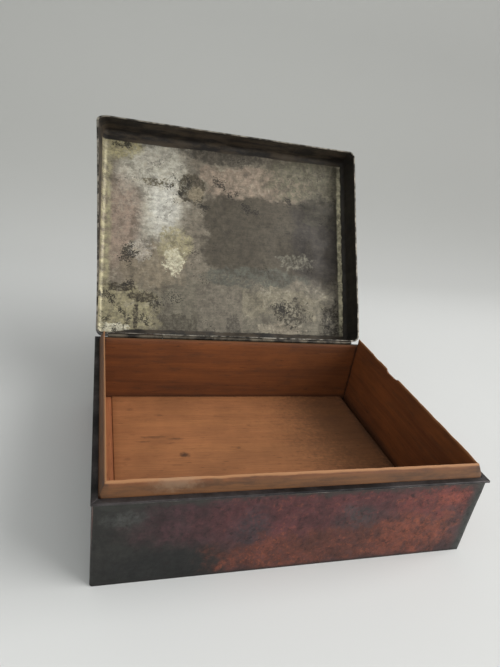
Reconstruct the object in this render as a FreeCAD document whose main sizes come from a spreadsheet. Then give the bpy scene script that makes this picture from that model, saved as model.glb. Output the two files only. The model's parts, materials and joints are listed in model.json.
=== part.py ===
import FreeCAD, Part
import Sketcher
import os
import re

# A low sheet-metal box with a thin wood liner, and a shallow tray lid on a five-knuckle barrel hinge.
# Millimetres. X runs to the right, Y to the back, Z up. The origin is the middle of the underside.
# Every piece is drawn where it sits with the lid shut; the lid's pieces are then turned open on the hinge.

PARTS_FOLDER = "parts"

DIMENSIONS = {
    # case
    "box_width": 178.0,
    "box_depth": 140.0,
    "sheet": 0.9,
    "corner_radius": 1.3,
    "rim_top": 44.5,
    "rim_thickness": 1.0,
    "rim_overhang": 0.8,
    "rim_ledge": 2.0,
    "rim_edge_radius": 0.3,
    # wood liner
    "board": 2.7,
    "board_corner_cut": 1.0,
    "board_land": 0.4,
    "liner_rise": 6.3,
    "liner_foot_rise": 0.2,
    "liner_back_rise": 0.8,
    "floor_top": 4.9,
    "filler_width": 6.0,
    "filler_drop": 0.4,
    "filler_joint": 0.1,
    "floor_gap_back": 0.9,
    "chip_back": 25.4,
    "chip_front": 10.7,
    "chip_deep": 2.2,
    # hinge
    "hinge_back": 1.1,
    "hinge_rise": 0.5,
    "hinge_length": 164.0,
    "barrel_radius": 1.3,
    "pin_radius": 0.6,
    "pin_proud": 0.4,
    "pin_end_radius": 0.25,
    "running_gap": 0.05,
    "knuckle_gap": 0.3,
    "seat_gap": 0.3,
    # lid
    "lid_height": 18.5,
    "lid_gap": 0.3,
    "lid_corner_radius": 4.5,
    "lid_edge_radius": 4.0,
    "lid_sideways": -0.4,
    "lid_open_angle": 122.0,
    "split_width": 0.9,
    "split_run": 2.6,
    "split_deep": 5.4,
    "split_start": 88.2,
}

# Lengths that follow from the driving ones; each may use the ones above it.
DERIVED = {
    "half_width": "=box_width / 2",
    "half_depth": "=box_depth / 2",
    "rim_under": "=rim_top - rim_thickness",
    "board_face": "=rim_ledge + board",
    "inner_half_width": "=half_width - board_face",
    "inner_half_depth": "=half_depth - board_face",
    "liner_top": "=rim_top + liner_rise",
    "hinge_y": "=half_depth + hinge_back",
    "hinge_z": "=rim_top + hinge_rise",
    "knuckle_count": "=5",
    "knuckle_length": "=(hinge_length - (knuckle_count - 1) * knuckle_gap) / knuckle_count",
    "lid_rim_z": "=rim_top + lid_gap",
}

SHEET_NAMES = re.compile(r"\b(" + "|".join([*DIMENSIONS, *DERIVED]) + r")\b")

doc = FreeCAD.newDocument("hinged_box")
sheet = doc.addObject("Spreadsheet::Sheet", "dims")


def fill_sheet():
    """Names in column A, values in column B, each value under its own alias."""
    rows = {**{name: str(value) for name, value in DIMENSIONS.items()}, **DERIVED}
    for row, (name, value) in enumerate(rows.items(), start=1):
        sheet.set(f"A{row}", name)
        sheet.set(f"B{row}", value)
        sheet.setAlias(f"B{row}", name)
    doc.recompute()


def sized(expression):
    """An expression on the sheet's names, in the form that FreeCAD binds: dims.name for each of them."""
    return SHEET_NAMES.sub(r"dims.\g<0>", expression)


def number(expression):
    """What such an expression comes to now."""
    return float(sheet.evalExpression(sized(expression)))


def new_body(label):
    body = doc.addObject("PartDesign::Body", label)
    body.Label = label
    return body


def origin_plane(body, role):
    return next(item for item in body.Origin.OriginFeatures if item.Role == role)


def new_sketch(body, name, role, offset="0"):
    """A sketch on one of the body's origin planes, moved along that plane's normal by offset."""
    sketch = body.newObject("Sketcher::SketchObject", name)
    sketch.AttachmentSupport = [(origin_plane(body, role), "")]
    sketch.MapMode = "FlatFace"
    sketch.setExpression("AttachmentOffset.Base.z", sized(offset))
    return sketch


def place_point(sketch, geometry, end, across, up):
    """Hold a point of the sketch at the two bound distances from the origin."""
    for kind, expression in (("DistanceX", across), ("DistanceY", up)):
        index = sketch.addConstraint(
            Sketcher.Constraint(kind, -1, 1, geometry, end, number(expression))
        )
        sketch.setExpression(f"Constraints[{index}]", sized(expression))


def draw_polygon(sketch, corners):
    """A closed outline through corners, each a pair of expressions."""
    spots = [FreeCAD.Vector(number(across), number(up), 0) for across, up in corners]
    first = sketch.GeometryCount
    for start, end in zip(spots, spots[1:] + spots[:1]):
        sketch.addGeometry(Part.LineSegment(start, end))
    count = len(corners)
    for side in range(count):
        following = (side + 1) % count
        sketch.addConstraint(
            Sketcher.Constraint("Coincident", first + side, 2, first + following, 1)
        )
    for side, (across, up) in enumerate(corners):
        place_point(sketch, first + side, 1, across, up)


def draw_circle(sketch, across, up, radius):
    """A circle with its centre and its radius bound."""
    centre = FreeCAD.Vector(number(across), number(up), 0)
    index = sketch.addGeometry(Part.Circle(centre, FreeCAD.Vector(0, 0, 1), number(radius)))
    place_point(sketch, index, 3, across, up)
    held = sketch.addConstraint(Sketcher.Constraint("Radius", index, number(radius)))
    sketch.setExpression(f"Constraints[{held}]", sized(radius))


def pad(body, sketch, length):
    feature = body.newObject("PartDesign::Pad", f"{sketch.Name}_pad")
    feature.Profile = sketch
    feature.setExpression("Length", sized(length))
    sketch.Visibility = False
    doc.recompute()
    return feature


def pocket(body, sketch, length=None, reverse=False):
    """Cut the sketch away, through everything if no length is given, and check that something was cut."""
    before = body.Shape.Volume
    feature = body.newObject("PartDesign::Pocket", f"{sketch.Name}_cut")
    feature.Profile = sketch
    feature.Reversed = reverse
    if length is None:
        feature.Type = 1
        feature.Midplane = True
    else:
        feature.setExpression("Length", sized(length))
    sketch.Visibility = False
    doc.recompute()
    if not body.Shape.Volume < before - 1e-6:
        raise RuntimeError(f"{feature.Name} cut nothing from {body.Label}")
    return feature


def edge_names(shape, wanted):
    """The names of the shape's edges whose two ends and direction satisfy wanted(edge)."""
    return [f"Edge{index}" for index, edge in enumerate(shape.Edges, start=1) if wanted(edge)]


def is_upright(edge):
    tangent = edge.tangentAt(edge.FirstParameter)
    return abs(abs(tangent.z) - 1) < 1e-6


def fillet(body, base, names, radius):
    feature = body.newObject("PartDesign::Fillet", f"{base.Name}_round")
    feature.Base = (base, names)
    feature.setExpression("Radius", sized(radius))
    doc.recompute()
    return feature


def hollow(body, base, open_faces, thickness):
    """Keep a skin of the given thickness, leaving the named faces open."""
    feature = body.newObject("PartDesign::Thickness", f"{base.Name}_skin")
    feature.Base = (base, open_faces)
    feature.setExpression("Value", sized(thickness))
    feature.Reversed = True
    doc.recompute()
    return feature


def faces_level_at(shape, heights):
    return [
        f"Face{index}"
        for index, face in enumerate(shape.Faces, start=1)
        if face.BoundBox.ZLength < 1e-6
        and any(abs(face.BoundBox.ZMin - height) < 1e-6 for height in heights)
    ]


def rectangle(half_across, half_up, middle="0"):
    """The four corners of a rectangle about a point on the sketch's x axis."""
    return [
        (f"{middle} - {half_across}", f"-{half_up}"),
        (f"{middle} + {half_across}", f"-{half_up}"),
        (f"{middle} + {half_across}", half_up),
        (f"{middle} - {half_across}", half_up),
    ]


# ---- case: base and wall -----------------------------------------------------------------------------


def make_base_plate():
    """The flat bottom sheet, trimmed flush with the wall above it."""
    body = new_body("base_plate")
    sketch = new_sketch(body, "base_outline", "XY_Plane")
    draw_polygon(sketch, rectangle("half_width", "half_depth"))
    plate = pad(body, sketch, "sheet")
    fillet(body, plate, edge_names(plate.Shape, is_upright), "corner_radius")


def make_case_wall():
    """One strip of sheet bent round into four walls with tight upright corners."""
    body = new_body("case_wall")
    sketch = new_sketch(body, "wall_outline", "XY_Plane", "sheet")
    draw_polygon(sketch, rectangle("half_width", "half_depth"))
    block = pad(body, sketch, "rim_under - sheet")
    rounded = fillet(body, block, edge_names(block.Shape, is_upright), "corner_radius")
    ends = faces_level_at(rounded.Shape, (number("sheet"), number("rim_under")))
    hollow(body, rounded, ends, "sheet")


# ---- mitred frames: the rim and the liner ------------------------------------------------------------

SIDES = {
    "front": ("x", "-"),
    "right": ("y", ""),
    "back": ("x", ""),
    "left": ("y", "-"),
}


def mitred_outline(side, outer_inset, inner_inset, corner_cut="0"):
    """Plan of one strip of a mitred frame, between two insets from the box's outer faces.

    The frame's outer corners are cut off square to the mitre, by corner_cut along each face.
    """
    runs_along, sign = SIDES[side]
    reach = {"x": "half_width", "y": "half_depth"}
    across = "y" if runs_along == "x" else "x"
    along_outer = f"({reach[runs_along]} - {outer_inset})"
    along_inner = f"({reach[runs_along]} - {inner_inset})"
    out_outer = f"{sign}1 * ({reach[across]} - {outer_inset}"
    out_inner = f"{sign}1 * ({reach[across]} - {inner_inset})"
    corners = [
        (f"-1 * ({along_outer} - {corner_cut})", f"{out_outer})"),
        (f"{along_outer} - {corner_cut}", f"{out_outer})"),
        (f"{along_outer} - {corner_cut} / 2", f"{out_outer} - {corner_cut} / 2)"),
        (along_inner, out_inner),
        (f"-1 * {along_inner}", out_inner),
        (f"-1 * ({along_outer} - {corner_cut} / 2)", f"{out_outer} - {corner_cut} / 2)"),
    ]
    if corner_cut == "0":
        corners = [corners[0], corners[1], corners[3], corners[4]]
    return corners if runs_along == "x" else [(out, along) for along, out in corners]


def outer_top_edge(side, reach_x, reach_y, height):
    """True for the long edge on the outside of a strip, at the given height."""
    runs_along, sign = SIDES[side]
    way = -1 if sign else 1

    def wanted(edge):
        box = edge.BoundBox
        level = abs(box.ZMin - height) < 1e-6 and box.ZLength < 1e-6
        if runs_along == "x":
            return level and box.YLength < 1e-6 and abs(box.YMin - way * reach_y) < 1e-6
        return level and box.XLength < 1e-6 and abs(box.XMin - way * reach_x) < 1e-6

    return wanted


def make_rim(side):
    """One flat strip of the ledge, soldered on the wall's top edge and standing a little proud of it."""
    body = new_body(f"rim_{side}")
    sketch = new_sketch(body, f"rim_{side}_plan", "XY_Plane", "rim_under")
    draw_polygon(sketch, mitred_outline(side, "(0 - rim_overhang)", "rim_ledge"))
    strip = pad(body, sketch, "rim_thickness")
    reach_x = number("half_width + rim_overhang")
    reach_y = number("half_depth + rim_overhang")
    outer = edge_names(strip.Shape, outer_top_edge(side, reach_x, reach_y, number("rim_top")))
    fillet(body, strip, outer, "rim_edge_radius")
    return body


def make_liner_board(side):
    """One mitred board. Its outer top edge is bevelled to a thin land, except on the low back board."""
    body = new_body(f"liner_{side}")
    sketch = new_sketch(body, f"liner_{side}_plan", "XY_Plane", "sheet")
    draw_polygon(sketch, mitred_outline(side, "rim_ledge", "board_face", "board_corner_cut"))
    if side == "back":
        pad(body, sketch, "rim_top + liner_back_rise - sheet")
        return body
    pad(body, sketch, "liner_top - sheet")
    runs_along, sign = SIDES[side]
    plane = "YZ_Plane" if runs_along == "x" else "XZ_Plane"
    reach = "half_depth" if runs_along == "x" else "half_width"
    bevel = new_sketch(body, f"liner_{side}_bevel", plane)
    foot = f"{sign}1 * ({reach} - rim_ledge)"
    land = f"{sign}1 * ({reach} - board_face + board_land)"
    draw_polygon(bevel, [
        (foot, "rim_top + liner_foot_rise"),
        (foot, "liner_top"),
        (land, "liner_top"),
    ])
    pocket(body, bevel)
    return body


def chip_top_edge(body):
    """The ragged notch that is broken out of the right board's thin top edge."""
    sketch = new_sketch(body, "liner_right_chip", "YZ_Plane", "inner_half_width - 1")
    draw_polygon(sketch, [
        ("chip_back", "liner_top + 1"),
        ("chip_back - 0.6", "liner_top - 0.5 * chip_deep"),
        ("chip_back - 2.4", "liner_top - chip_deep"),
        ("chip_front + 4.5", "liner_top - 0.85 * chip_deep"),
        ("chip_front + 1.2", "liner_top - 0.4 * chip_deep"),
        ("chip_front", "liner_top + 1"),
    ])
    pocket(body, sketch, "board + 2", reverse=True)


def make_floor():
    """The floor board stops short of the left board, and a narrow strip fills the rest."""
    body = new_body("liner_floor")
    sketch = new_sketch(body, "floor_plan", "XY_Plane", "sheet")
    left = "filler_width + filler_joint - inner_half_width"
    draw_polygon(sketch, [
        (left, "-inner_half_depth"),
        ("inner_half_width", "-inner_half_depth"),
        ("inner_half_width - floor_gap_back", "inner_half_depth"),
        (left, "inner_half_depth"),
    ])
    pad(body, sketch, "floor_top - sheet")

    strip = new_body("floor_filler")
    plan = new_sketch(strip, "filler_plan", "XY_Plane", "sheet")
    draw_polygon(plan, [
        ("-inner_half_width", "-inner_half_depth"),
        ("filler_width - inner_half_width", "-inner_half_depth"),
        ("filler_width - inner_half_width", "inner_half_depth"),
        ("-inner_half_width", "inner_half_depth"),
    ])
    pad(strip, plan, "floor_top - filler_drop - sheet")


# ---- hinge -------------------------------------------------------------------------------------------

KNUCKLES = [
    ("case", "left"),
    ("lid", "left"),
    ("case", "middle"),
    ("lid", "right"),
    ("case", "right"),
]


def knuckle_start(place):
    """Where knuckle number place begins along the hinge line."""
    return f"0 - hinge_length / 2 + {place} * (knuckle_length + knuckle_gap)"


def make_knuckle(place):
    """One length of tube. A case knuckle grips the pin, and a lid knuckle runs on it."""
    owner, where = KNUCKLES[place]
    body = new_body(f"{owner}_knuckle_{where}")
    sketch = new_sketch(body, f"{owner}_knuckle_{where}_ring", "YZ_Plane", knuckle_start(place))
    draw_circle(sketch, "hinge_y", "hinge_z", "barrel_radius")
    bore = "pin_radius" if owner == "case" else "pin_radius + running_gap"
    draw_circle(sketch, "hinge_y", "hinge_z", bore)
    pad(body, sketch, "knuckle_length")
    return body


def make_hinge_pin():
    """A plain wire through all the knuckles, its ends rounded over."""
    body = new_body("hinge_pin")
    sketch = new_sketch(body, "pin_section", "YZ_Plane", "0 - hinge_length / 2 - pin_proud")
    draw_circle(sketch, "hinge_y", "hinge_z", "pin_radius")
    wire = pad(body, sketch, "hinge_length + 2 * pin_proud")
    rings = edge_names(wire.Shape, lambda edge: edge.BoundBox.XLength < 1e-6)
    fillet(body, wire, rings, "pin_end_radius")


def seat_barrel(body, owner):
    """Hollow the piece round the barrel: close to the knuckles it carries, and clear of the others."""
    for place, (knuckle_owner, where) in enumerate(KNUCKLES):
        carried = knuckle_owner == owner
        start = knuckle_start(place) if carried else f"{knuckle_start(place)} - knuckle_gap"
        length = "knuckle_length" if carried else "knuckle_length + 2 * knuckle_gap"
        radius = "barrel_radius" if carried else "barrel_radius + seat_gap"
        name = f"{body.Label}_seat_{knuckle_owner}_{where}"
        sketch = new_sketch(body, name, "YZ_Plane", start)
        draw_circle(sketch, "hinge_y", "hinge_z", radius)
        pocket(body, sketch, length, reverse=True)


# ---- lid ---------------------------------------------------------------------------------------------


def make_lid_shell():
    """A shallow tray folded from one sheet, drawn shut, with its open side down."""
    body = new_body("lid_shell")
    sketch = new_sketch(body, "lid_outline", "XY_Plane", "lid_rim_z")
    draw_polygon(sketch, rectangle("half_width", "half_depth", "lid_sideways"))
    block = pad(body, sketch, "lid_height")
    upright = fillet(body, block, edge_names(block.Shape, is_upright), "lid_corner_radius")
    top = number("lid_rim_z + lid_height")
    around = edge_names(
        upright.Shape,
        lambda edge: edge.BoundBox.ZLength < 1e-6 and abs(edge.BoundBox.ZMin - top) < 1e-6,
    )
    rounded = fillet(body, upright, around, "lid_edge_radius")
    mouth = faces_level_at(rounded.Shape, (number("lid_rim_z"),))
    hollow(body, rounded, mouth, "sheet")
    return body


def split_front_seam(body):
    """The front right corner seam has sprung open from the edge: a narrow slanting gap."""
    sketch = new_sketch(body, "lid_seam_split", "XZ_Plane", "half_depth - lid_corner_radius")
    draw_polygon(sketch, [
        ("split_start", "lid_rim_z - 1"),
        ("split_start", "lid_rim_z"),
        ("split_start - split_run", "lid_rim_z + split_deep"),
        ("split_start - split_run - split_width", "lid_rim_z + split_deep"),
        ("split_start - split_width", "lid_rim_z"),
        ("split_start - split_width", "lid_rim_z - 1"),
    ])
    pocket(body, sketch, "lid_corner_radius + 1", reverse=True)


def turn_open(body):
    """Turn a lid piece about the hinge line, from shut to its open stop."""
    body.Placement = FreeCAD.Placement(
        FreeCAD.Vector(0, 0, 0), FreeCAD.Rotation(FreeCAD.Vector(1, 0, 0), -1)
    )
    body.setExpression("Placement.Rotation.Angle", sized("-1 * lid_open_angle"))
    cosine, sine = "cos(lid_open_angle)", "sin(lid_open_angle)"
    along_y = f"hinge_y - (hinge_y * {cosine} + hinge_z * {sine})"
    along_z = f"hinge_z - (hinge_z * {cosine} - hinge_y * {sine})"
    body.setExpression("Placement.Base.y", sized(along_y))
    body.setExpression("Placement.Base.z", sized(along_z))
    doc.recompute()


# ---- whole box ---------------------------------------------------------------------------------------


def build_box():
    make_base_plate()
    make_case_wall()
    for side in SIDES:
        strip = make_rim(side)
        if side == "back":
            seat_barrel(strip, "case")
    for side in SIDES:
        board = make_liner_board(side)
        if side == "right":
            chip_top_edge(board)
    make_floor()
    make_hinge_pin()
    lid_pieces = []
    for place, (owner, _) in enumerate(KNUCKLES):
        tube = make_knuckle(place)
        if owner == "lid":
            lid_pieces.append(tube)
    lid = make_lid_shell()
    seat_barrel(lid, "lid")
    split_front_seam(lid)
    for piece in [lid, *lid_pieces]:
        turn_open(piece)


def check_and_export():
    """Stop on any failed feature or bad shape, then write one file for each piece."""
    doc.recompute()
    for item in doc.Objects:
        if "Invalid" in item.State or "Error" in item.State:
            raise RuntimeError(f"{item.Name} failed: {item.State}")
    bodies = [item for item in doc.Objects if item.TypeId == "PartDesign::Body"]
    for body in bodies:
        if body.Shape.isNull() or not body.Shape.isValid() or len(body.Shape.Solids) != 1:
            raise RuntimeError(f"{body.Label} is not one valid solid")
    os.makedirs(PARTS_FOLDER, exist_ok=True)
    for body in bodies:
        body.Shape.exportStep(os.path.join(PARTS_FOLDER, f"{body.Label}.step"))
        box = body.Shape.BoundBox
        print(f"{body.Label:22} {box.XLength:7.2f} {box.YLength:7.2f} {box.ZLength:7.2f} mm"
              f"  {body.Shape.Volume / 1000:7.2f} cm3")


fill_sheet()
build_box()
check_and_export()
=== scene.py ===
import json
import math

import bmesh
import bpy
from mathutils import Matrix, Vector, noise


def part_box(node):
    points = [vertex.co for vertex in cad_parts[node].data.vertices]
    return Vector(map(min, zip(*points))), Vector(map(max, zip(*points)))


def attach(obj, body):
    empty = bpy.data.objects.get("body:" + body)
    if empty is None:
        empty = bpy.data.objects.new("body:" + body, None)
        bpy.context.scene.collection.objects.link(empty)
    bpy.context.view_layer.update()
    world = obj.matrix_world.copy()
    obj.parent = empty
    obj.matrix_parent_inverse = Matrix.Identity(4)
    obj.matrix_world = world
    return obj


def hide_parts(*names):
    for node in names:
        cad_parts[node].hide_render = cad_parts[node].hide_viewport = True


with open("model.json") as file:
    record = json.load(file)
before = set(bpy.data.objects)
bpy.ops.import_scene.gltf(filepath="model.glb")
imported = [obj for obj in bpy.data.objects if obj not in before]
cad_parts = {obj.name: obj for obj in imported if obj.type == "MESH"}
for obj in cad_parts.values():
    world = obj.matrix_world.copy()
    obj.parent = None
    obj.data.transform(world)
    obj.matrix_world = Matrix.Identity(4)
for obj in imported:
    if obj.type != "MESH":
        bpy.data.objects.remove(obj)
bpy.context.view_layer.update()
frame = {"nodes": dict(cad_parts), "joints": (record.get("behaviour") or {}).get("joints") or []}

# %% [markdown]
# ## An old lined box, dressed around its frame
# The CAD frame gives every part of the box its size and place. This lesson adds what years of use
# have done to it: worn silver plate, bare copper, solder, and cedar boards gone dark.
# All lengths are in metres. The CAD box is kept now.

MM = 0.001
wall_low, wall_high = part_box("case_wall")
rim_low, rim_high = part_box("rim_front")
liner_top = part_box("liner_front")[1].z
half_width = wall_high.x
half_depth = wall_high.y
rim_top = rim_high.z
sheet_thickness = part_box("base_plate")[1].z
print(f"case {2 * half_width / MM:.1f} x {2 * half_depth / MM:.1f} mm, rim at {rim_top / MM:.1f} mm")

# %% [markdown]
# ## The hinge line
# The lid is packed open, which is its rest pose. Its own wear is easier to describe with the lid shut, so
# two matrices turn points between the open place and the shut one, about the joint that the frame gives.

# %% Turning about the hinge
lid_joint = frame["joints"][0]
hinge_point = Vector(lid_joint["pos_m"])
open_turn = math.radians(lid_joint["range_deg"][1])


def turn_about_hinge(angle):
    there = Matrix.Translation(hinge_point)
    return there @ Matrix.Rotation(angle, 4, "X") @ there.inverted()


to_shut = turn_about_hinge(open_turn)
to_open = to_shut.inverted()
print(f"lid opens {math.degrees(open_turn):.0f} degrees")
print(f"hinge line at y {hinge_point.y / MM:.1f}, z {hinge_point.z / MM:.1f} mm")

# %% [markdown]
# ## Camera
# The box is seen from just left of its front left corner and from above, close enough for strong
# perspective. The camera leans a little to one side, as a hand-held one does.

# %% Camera
camera_data = bpy.data.cameras.new("camera")
camera_data.sensor_width = 36.0
camera_data.lens = 28.01
camera_data.clip_start = 0.01
camera = bpy.data.objects.new("camera", camera_data)
camera.location = (-0.0911, -0.2237, 0.1883)
camera.rotation_euler = [math.radians(angle) for angle in (65.66, -8.94, -14.48)]
bpy.context.scene.collection.objects.link(camera)
bpy.context.scene.camera = camera
print(f"camera {camera.location.length / MM:.0f} mm from the middle of the base")

# %% [markdown]
# ## Stage and light
# A pale sweep stands behind the box and runs forward under it, so that the camera sees no horizon. One
# large soft light hangs to the right, which leaves the right board's inner face in shade and throws the
# box's soft shadow to the left. A faint light in front and a dim grey world fill the rest.

# %% Sweep
SWEEP = {"half_width": 3.0, "front": -3.5, "back": 0.34, "bend": 0.3, "height": 1.9, "arc_steps": 24}
SWEEP_COLOUR = (0.76, 0.77, 0.772, 1)
# painted shade on the sweep: darker towards the back and to the right
SWEEP_PAINTED_SHADE = [
    # axis, where the shade starts and where it is full, and the colour that it multiplies with
    ("Y", 0.18, 0.60, (0.53, 0.53, 0.515, 1)),
    ("X", -0.3, 0.8, (0.60, 0.60, 0.60, 1)),
]


def sweep_profile():
    points = [(SWEEP["front"], 0.0)]
    for step in range(SWEEP["arc_steps"] + 1):
        turn = 0.5 * math.pi * step / SWEEP["arc_steps"]
        points.append((
            SWEEP["back"] + SWEEP["bend"] * math.sin(turn),
            SWEEP["bend"] * (1 - math.cos(turn)),
        ))
    points.append((SWEEP["back"] + SWEEP["bend"], SWEEP["height"]))
    return points


def make_sweep_cloth():
    """Pale cloth with painted shade, which grows darker towards the back and to the right."""
    material = bpy.data.materials.new("sweep_cloth_painted_shade")
    material.use_nodes = True
    tree = material.node_tree
    shader = tree.nodes["Principled BSDF"]
    place = tree.nodes.new("ShaderNodeTexCoord")
    parts = tree.nodes.new("ShaderNodeSeparateXYZ")
    tree.links.new(place.outputs["Object"], parts.inputs[0])
    colour = SWEEP_COLOUR
    for axis, start, end, darker in SWEEP_PAINTED_SHADE:
        fall = tree.nodes.new("ShaderNodeMapRange")
        fall.interpolation_type = "SMOOTHSTEP"
        fall.inputs["From Min"].default_value = start
        fall.inputs["From Max"].default_value = end
        tree.links.new(parts.outputs[axis], fall.inputs["Value"])
        mix = tree.nodes.new("ShaderNodeMix")
        mix.data_type = "RGBA"
        mix.blend_type = "MULTIPLY"
        tree.links.new(fall.outputs[0], mix.inputs[0])
        if isinstance(colour, tuple):
            mix.inputs[6].default_value = colour
        else:
            tree.links.new(colour, mix.inputs[6])
        mix.inputs[7].default_value = darker
        colour = mix.outputs[2]
    tree.links.new(colour, shader.inputs["Base Color"])
    shader.inputs["Roughness"].default_value = 0.9
    return material


def build_sweep():
    points = sweep_profile()
    corners = [(x, y, z) for y, z in points for x in (-SWEEP["half_width"], SWEEP["half_width"])]
    faces = [(2 * i, 2 * i + 1, 2 * i + 3, 2 * i + 2) for i in range(len(points) - 1)]
    mesh = bpy.data.meshes.new("sweep")
    mesh.from_pydata(corners, [], faces)
    mesh.shade_smooth()
    sweep = bpy.data.objects.new("sweep", mesh)
    bpy.context.scene.collection.objects.link(sweep)
    mesh.materials.append(make_sweep_cloth())
    return sweep


sweep = build_sweep()
print(f"sweep of {len(sweep.data.polygons)} faces")

# %% Lights
LIGHTS = {
    "key": {"place": (1.10, -0.38, 0.64), "size": 1.4, "watts": 24.5, "colour": (1.0, 0.985, 0.96)},
    "front": {"place": (-0.35, -1.0, 0.75), "size": 0.9, "watts": 1.0, "colour": (0.96, 0.98, 1.0)},
}
LIGHT_TARGET = Vector((0.0, 0.02, 0.04))


def hang_light(name, place, size, watts, colour):
    data = bpy.data.lights.new(name, "AREA")
    data.shape = "SQUARE"
    data.size = size
    data.energy = watts
    data.color = colour
    light = bpy.data.objects.new(name, data)
    light.location = place
    light.rotation_euler = (LIGHT_TARGET - Vector(place)).to_track_quat("-Z", "Y").to_euler()
    bpy.context.scene.collection.objects.link(light)


for light_name, light_facts in LIGHTS.items():
    hang_light(light_name, **light_facts)
world = bpy.data.worlds.new("room")
bpy.context.scene.world = world
world.use_nodes = True
world.node_tree.nodes["Background"].inputs["Color"].default_value = (0.83, 0.84, 0.815, 1)
world.node_tree.nodes["Background"].inputs["Strength"].default_value = 0.68
bpy.context.scene.view_settings.view_transform = "Standard"
print(f"{len(LIGHTS)} soft lights")

# %% [markdown]
# ## Small tools for building shaders
# A shader tree is quicker to read when each node is one line. `put` adds a node and fills its inputs:
# a number stays on the socket, and another node's output is linked to it.

# %% Shader helpers


def put(tree, kind, settings=None, **inputs):
    """Add a node; settings are its options, inputs its sockets by name, with _ for a space."""
    node = tree.nodes.new(kind)
    for name, value in (settings or {}).items():
        setattr(node, name, value)
    for name, value in inputs.items():
        fill(tree, node.inputs[name.replace("_", " ")], value)
    return node


def fill(tree, socket, value):
    if isinstance(value, bpy.types.NodeSocket):
        tree.links.new(value, socket)
    elif isinstance(value, (tuple, list)) and socket.type == "RGBA" and len(value) == 3:
        socket.default_value = (*value, 1.0)
    else:
        socket.default_value = value


def sums(tree, operation, first, second=0.5):
    node = put(tree, "ShaderNodeMath", {"operation": operation})
    fill(tree, node.inputs[0], first)
    fill(tree, node.inputs[1], second)
    return node.outputs[0]


def times(tree, first, second):
    return sums(tree, "MULTIPLY", first, second)


def plus(tree, first, second):
    return sums(tree, "ADD", first, second)


def minus(tree, first, second):
    return sums(tree, "SUBTRACT", first, second)


def vectors(tree, operation, first, second):
    node = put(tree, "ShaderNodeVectorMath", {"operation": operation})
    fill(tree, node.inputs[0], first)
    fill(tree, node.inputs[1], second)
    return node.outputs["Vector"]


def blend_colours(tree, factor, first, second, mode="MIX"):
    node = put(tree, "ShaderNodeMix", {"data_type": "RGBA", "blend_type": mode})
    fill(tree, node.inputs[0], factor)
    fill(tree, node.inputs[6], first)
    fill(tree, node.inputs[7], second)
    return node.outputs[2]


def spread(tree, value, low, high, to_low=0.0, to_high=1.0, smooth=True):
    """Map value from low..high to to_low..to_high, held at the ends."""
    kind = "SMOOTHSTEP" if smooth else "LINEAR"
    node = put(tree, "ShaderNodeMapRange", {"interpolation_type": kind, "clamp": True}, Value=value)
    for name, number in (("From Min", low), ("From Max", high), ("To Min", to_low), ("To Max", to_high)):
        fill(tree, node.inputs[name], number)
    return node.outputs[0]


def spread_grey(tree, value, low, high, dark, light):
    level = spread(tree, value, low, high, dark, light)
    node = put(tree, "ShaderNodeCombineXYZ", X=level, Y=level, Z=level)
    return node.outputs[0]


def noise_of(tree, vector, scale, detail=4.0, roughness=0.55, distortion=0.0):
    node = put(tree, "ShaderNodeTexNoise", {"noise_dimensions": "3D"}, Vector=vector, Scale=scale,
               Detail=detail, Roughness=roughness, Distortion=distortion)
    return node.outputs["Fac"], node.outputs["Color"]


def screen_colour(red, green, blue):
    """An sRGB colour, 0 to 255, as the linear colour that a shader wants."""
    linear = [((value / 255 + 0.055) / 1.055) ** 2.4 if value > 10 else value / 255 / 12.92
              for value in (red, green, blue)]
    return tuple(linear)


def new_group(name, inputs, outputs):
    """An empty shader group with typed sockets, and its input and output nodes."""
    group = bpy.data.node_groups.new(name, "ShaderNodeTree")
    kinds = {"vector": "NodeSocketVector", "number": "NodeSocketFloat", "colour": "NodeSocketColor"}
    for title, kind in inputs.items():
        group.interface.new_socket(title, in_out="INPUT", socket_type=kinds[kind])
    for title, kind in outputs.items():
        group.interface.new_socket(title, in_out="OUTPUT", socket_type=kinds[kind])
    return group, group.nodes.new("NodeGroupInput"), group.nodes.new("NodeGroupOutput")


def use_group(tree, group, **inputs):
    return put(tree, "ShaderNodeGroup", {"node_tree": group}, **inputs)


def new_material(name):
    material = bpy.data.materials.new(name)
    material.use_nodes = True
    tree = material.node_tree
    return material, tree, tree.nodes["Principled BSDF"]


print("shader helpers ready")

# %% [markdown]
# ## Effects that several finishes share
# Tarnish spreads in ragged islands, corrosion pits gather in clusters, and wood fibres run one way. Each
# effect is a node group that gives a mask or a value, so one idea serves the lid, the wall and the boards.

# %% Ragged patch


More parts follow.
